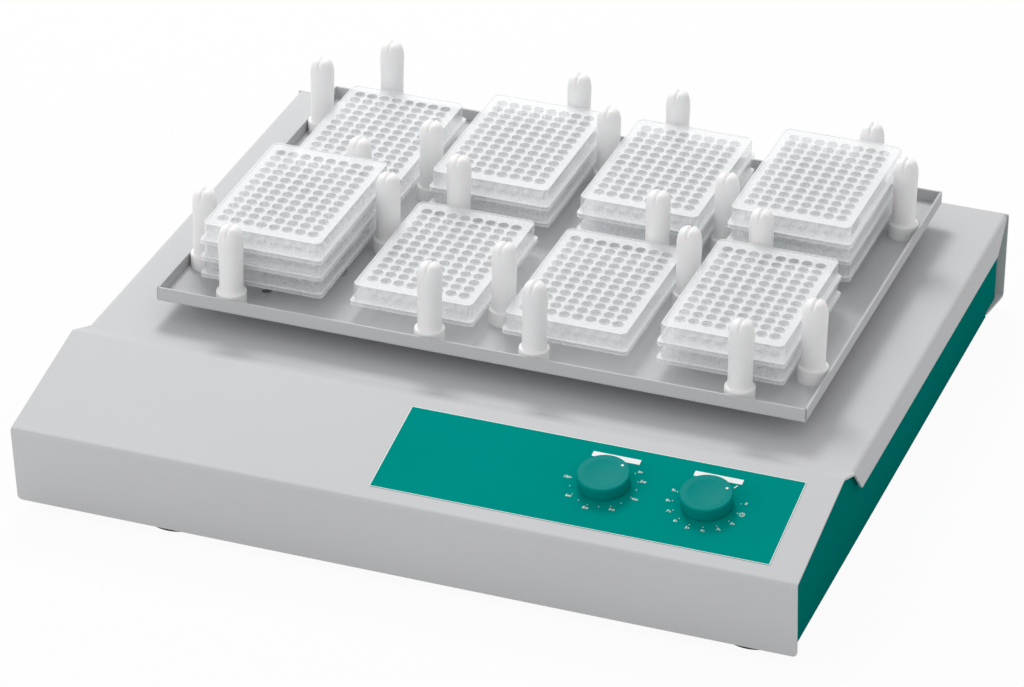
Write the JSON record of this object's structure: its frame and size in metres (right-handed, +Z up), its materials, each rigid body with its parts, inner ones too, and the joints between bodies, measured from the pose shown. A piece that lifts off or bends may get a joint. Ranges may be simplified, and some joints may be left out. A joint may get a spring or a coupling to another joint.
{
  "type": "microplate shaker",
  "caption": "Bench shaker with a folded grey housing, slanted control panel with two knobs, and a pinned tray that an eccentric drive orbits under stacked well plates.",
  "frame": {"origin": "centre of the bounding box on the table, under the feet", "axes": "+X to the right along the front lip, +Y towards the rear panel, +Z up"},
  "size_m": [0.52, 0.494, 0.1461],
  "materials": {
    "grey_paint": "fine-textured light grey powder coat",
    "tray_paint": "smooth light grey powder coat",
    "teal_paint": "satin teal enamel",
    "teal_film": "satin printed film",
    "teal_plastic": "satin moulded plastic",
    "white_plastic": "smooth white moulded plastic",
    "dark_plastic": "moulded black plastic",
    "clear_polystyrene": "clear polished polystyrene",
    "black_rubber": "moulded black rubber",
    "bright_steel": "bright turned steel",
    "bearing_steel": "ground bearing steel",
    "core_steel": "varnished transformer laminations",
    "zinc_sheet": "zinc plated sheet",
    "motor_can": "plated motor can",
    "alloy": "machined aluminium",
    "cast_alloy": "cast aluminium",
    "cast_iron_grey": "bare grey iron",
    "copper_coil": "enamelled copper winding",
    "brass_blade": "plated brass",
    "board_green": "green solder mask"
  },
  "bodies": {
    "base": {"tub": "teal_paint", "cover": "grey_paint", "feet": "black_rubber", "housing_screws": "bright_steel", "control_overlay": "teal_film", "speed_control_body": "dark_plastic", "timer_control_body": "dark_plastic", "control_nuts": "bright_steel", "control_board": "board_green", "board_standoffs": "bright_steel", "board_parts": "dark_plastic", "mains_inlet": "dark_plastic", "inlet_blades": "brass_blade", "transformer_core": "core_steel", "transformer_coil": "copper_coil", "bearing_bridge": "cast_alloy", "main_bearings": "bearing_steel", "idler_blocks": "cast_alloy", "idler_bearings": "bearing_steel", "motor_bracket": "zinc_sheet", "motor_body": "motor_can", "drive_belt": "black_rubber", "drive_screws": "bright_steel"},
    "drive": {"drive_shaft": "bright_steel", "counterweight": "cast_iron_grey", "driven_pulley": "alloy"},
    "rotor": {"motor_shaft": "bright_steel", "motor_pulley": "alloy"},
    "tray": {"carrier": "alloy", "carrier_bearings": "bearing_steel", "tray_posts": "alloy", "tray_screws": "bright_steel", "tray": "tray_paint", "pins_front": "white_plastic", "pins_middle": "white_plastic", "pins_rear": "white_plastic", "pin_screws": "bright_steel"},
    "speed_knob": {"speed_knob": "teal_plastic", "speed_spindle": "bright_steel"},
    "timer_knob": {"timer_knob": "teal_plastic", "timer_spindle": "bright_steel"},
    "idler_1": {"idler_crank_1": "bright_steel"},
    "idler_2": {"idler_crank_2": "bright_steel"},
    "idler_3": {"idler_crank_3": "bright_steel"},
    "idler_4": {"idler_crank_4": "bright_steel"},
    "plate_front_1_layer_1": {"plate_front_1_layer_1": "clear_polystyrene"},
    "plate_front_1_layer_2": {"plate_front_1_layer_2": "clear_polystyrene"},
    "plate_front_1_layer_3": {"plate_front_1_layer_3": "clear_polystyrene"},
    "plate_front_2_layer_1": {"plate_front_2_layer_1": "clear_polystyrene"},
    "plate_front_3_layer_1": {"plate_front_3_layer_1": "clear_polystyrene"},
    "plate_front_4_layer_1": {"plate_front_4_layer_1": "clear_polystyrene"},
    "plate_front_4_layer_2": {"plate_front_4_layer_2": "clear_polystyrene"},
    "plate_rear_1_layer_1": {"plate_rear_1_layer_1": "clear_polystyrene"},
    "plate_rear_2_layer_1": {"plate_rear_2_layer_1": "clear_polystyrene"},
    "plate_rear_2_layer_2": {"plate_rear_2_layer_2": "clear_polystyrene"},
    "plate_rear_3_layer_1": {"plate_rear_3_layer_1": "clear_polystyrene"},
    "plate_rear_3_layer_2": {"plate_rear_3_layer_2": "clear_polystyrene"},
    "plate_rear_4_layer_1": {"plate_rear_4_layer_1": "clear_polystyrene"},
    "plate_rear_4_layer_2": {"plate_rear_4_layer_2": "clear_polystyrene"},
    "plate_rear_4_layer_3": {"plate_rear_4_layer_3": "clear_polystyrene"}
  },
  "joints": [
    {"name": "drive_turn", "type": "hinge", "parent": "base", "child": "drive", "pos_m": [-0.0015, 0.0539, 0.05], "axis": [0, 0, 1], "continuous": true},
    {"name": "tray_counter_turn", "type": "hinge", "parent": "drive", "child": "tray", "pos_m": [0, 0.0539, 0.06], "axis": [0, 0, 1], "continuous": true},
    {"name": "rotor_turn", "type": "hinge", "parent": "base", "child": "rotor", "pos_m": [-0.1065, 0.0539, 0.03], "axis": [0, 0, 1], "continuous": true},
    {"name": "idler_1_turn", "type": "hinge", "parent": "base", "child": "idler_1", "pos_m": [-0.1515, -0.0461, 0.05], "axis": [0, 0, 1], "continuous": true},
    {"name": "idler_2_turn", "type": "hinge", "parent": "base", "child": "idler_2", "pos_m": [-0.1515, 0.1539, 0.05], "axis": [0, 0, 1], "continuous": true},
    {"name": "idler_3_turn", "type": "hinge", "parent": "base", "child": "idler_3", "pos_m": [0.1485, -0.0461, 0.05], "axis": [0, 0, 1], "continuous": true},
    {"name": "idler_4_turn", "type": "hinge", "parent": "base", "child": "idler_4", "pos_m": [0.1485, 0.1539, 0.05], "axis": [0, 0, 1], "continuous": true},
    {"name": "speed_knob_turn", "type": "hinge", "parent": "base", "child": "speed_knob", "pos_m": [0.1185, -0.19426, 0.0729], "axis": [0, -0.2103, 0.9776], "range_deg": [-225, 0]},
    {"name": "timer_knob_turn", "type": "hinge", "parent": "base", "child": "timer_knob", "pos_m": [0.1852, -0.19426, 0.0729], "axis": [0, -0.2103, 0.9776], "range_deg": [-227.4, 24.4]},
    {"name": "plate_front_1_layer_1_lift", "type": "slide", "parent": "tray", "child": "plate_front_1_layer_1", "axis": [0, 0, 1], "range_m": [0, 0.055]},
    {"name": "plate_front_1_layer_2_lift", "type": "slide", "parent": "plate_front_1_layer_1", "child": "plate_front_1_layer_2", "axis": [0, 0, 1], "range_m": [0, 0.055]},
    {"name": "plate_front_1_layer_3_lift", "type": "slide", "parent": "plate_front_1_layer_2", "child": "plate_front_1_layer_3", "axis": [0, 0, 1], "range_m": [0, 0.055]},
    {"name": "plate_front_2_layer_1_lift", "type": "slide", "parent": "tray", "child": "plate_front_2_layer_1", "axis": [0, 0, 1], "range_m": [0, 0.055]},
    {"name": "plate_front_3_layer_1_lift", "type": "slide", "parent": "tray", "child": "plate_front_3_layer_1", "axis": [0, 0, 1], "range_m": [0, 0.055]},
    {"name": "plate_front_4_layer_1_lift", "type": "slide", "parent": "tray", "child": "plate_front_4_layer_1", "axis": [0, 0, 1], "range_m": [0, 0.055]},
    {"name": "plate_front_4_layer_2_lift", "type": "slide", "parent": "plate_front_4_layer_1", "child": "plate_front_4_layer_2", "axis": [0, 0, 1], "range_m": [0, 0.055]},
    {"name": "plate_rear_1_layer_1_lift", "type": "slide", "parent": "tray", "child": "plate_rear_1_layer_1", "axis": [0, 0, 1], "range_m": [0, 0.055]},
    {"name": "plate_rear_2_layer_1_lift", "type": "slide", "parent": "tray", "child": "plate_rear_2_layer_1", "axis": [0, 0, 1], "range_m": [0, 0.055]},
    {"name": "plate_rear_2_layer_2_lift", "type": "slide", "parent": "plate_rear_2_layer_1", "child": "plate_rear_2_layer_2", "axis": [0, 0, 1], "range_m": [0, 0.055]},
    {"name": "plate_rear_3_layer_1_lift", "type": "slide", "parent": "tray", "child": "plate_rear_3_layer_1", "axis": [0, 0, 1], "range_m": [0, 0.055]},
    {"name": "plate_rear_3_layer_2_lift", "type": "slide", "parent": "plate_rear_3_layer_1", "child": "plate_rear_3_layer_2", "axis": [0, 0, 1], "range_m": [0, 0.055]},
    {"name": "plate_rear_4_layer_1_lift", "type": "slide", "parent": "tray", "child": "plate_rear_4_layer_1", "axis": [0, 0, 1], "range_m": [0, 0.055]},
    {"name": "plate_rear_4_layer_2_lift", "type": "slide", "parent": "plate_rear_4_layer_1", "child": "plate_rear_4_layer_2", "axis": [0, 0, 1], "range_m": [0, 0.055]},
    {"name": "plate_rear_4_layer_3_lift", "type": "slide", "parent": "plate_rear_4_layer_2", "child": "plate_rear_4_layer_3", "axis": [0, 0, 1], "range_m": [0, 0.055]}
  ],
  "couplings": [
    {"joint": "tray_counter_turn", "follows": "drive_turn", "ratio": -1},
    {"joint": "rotor_turn", "follows": "drive_turn", "ratio": 2.9167},
    {"joint": "idler_1_turn", "follows": "drive_turn", "ratio": 1},
    {"joint": "idler_2_turn", "follows": "drive_turn", "ratio": 1},
    {"joint": "idler_3_turn", "follows": "drive_turn", "ratio": 1},
    {"joint": "idler_4_turn", "follows": "drive_turn", "ratio": 1}
  ]
}
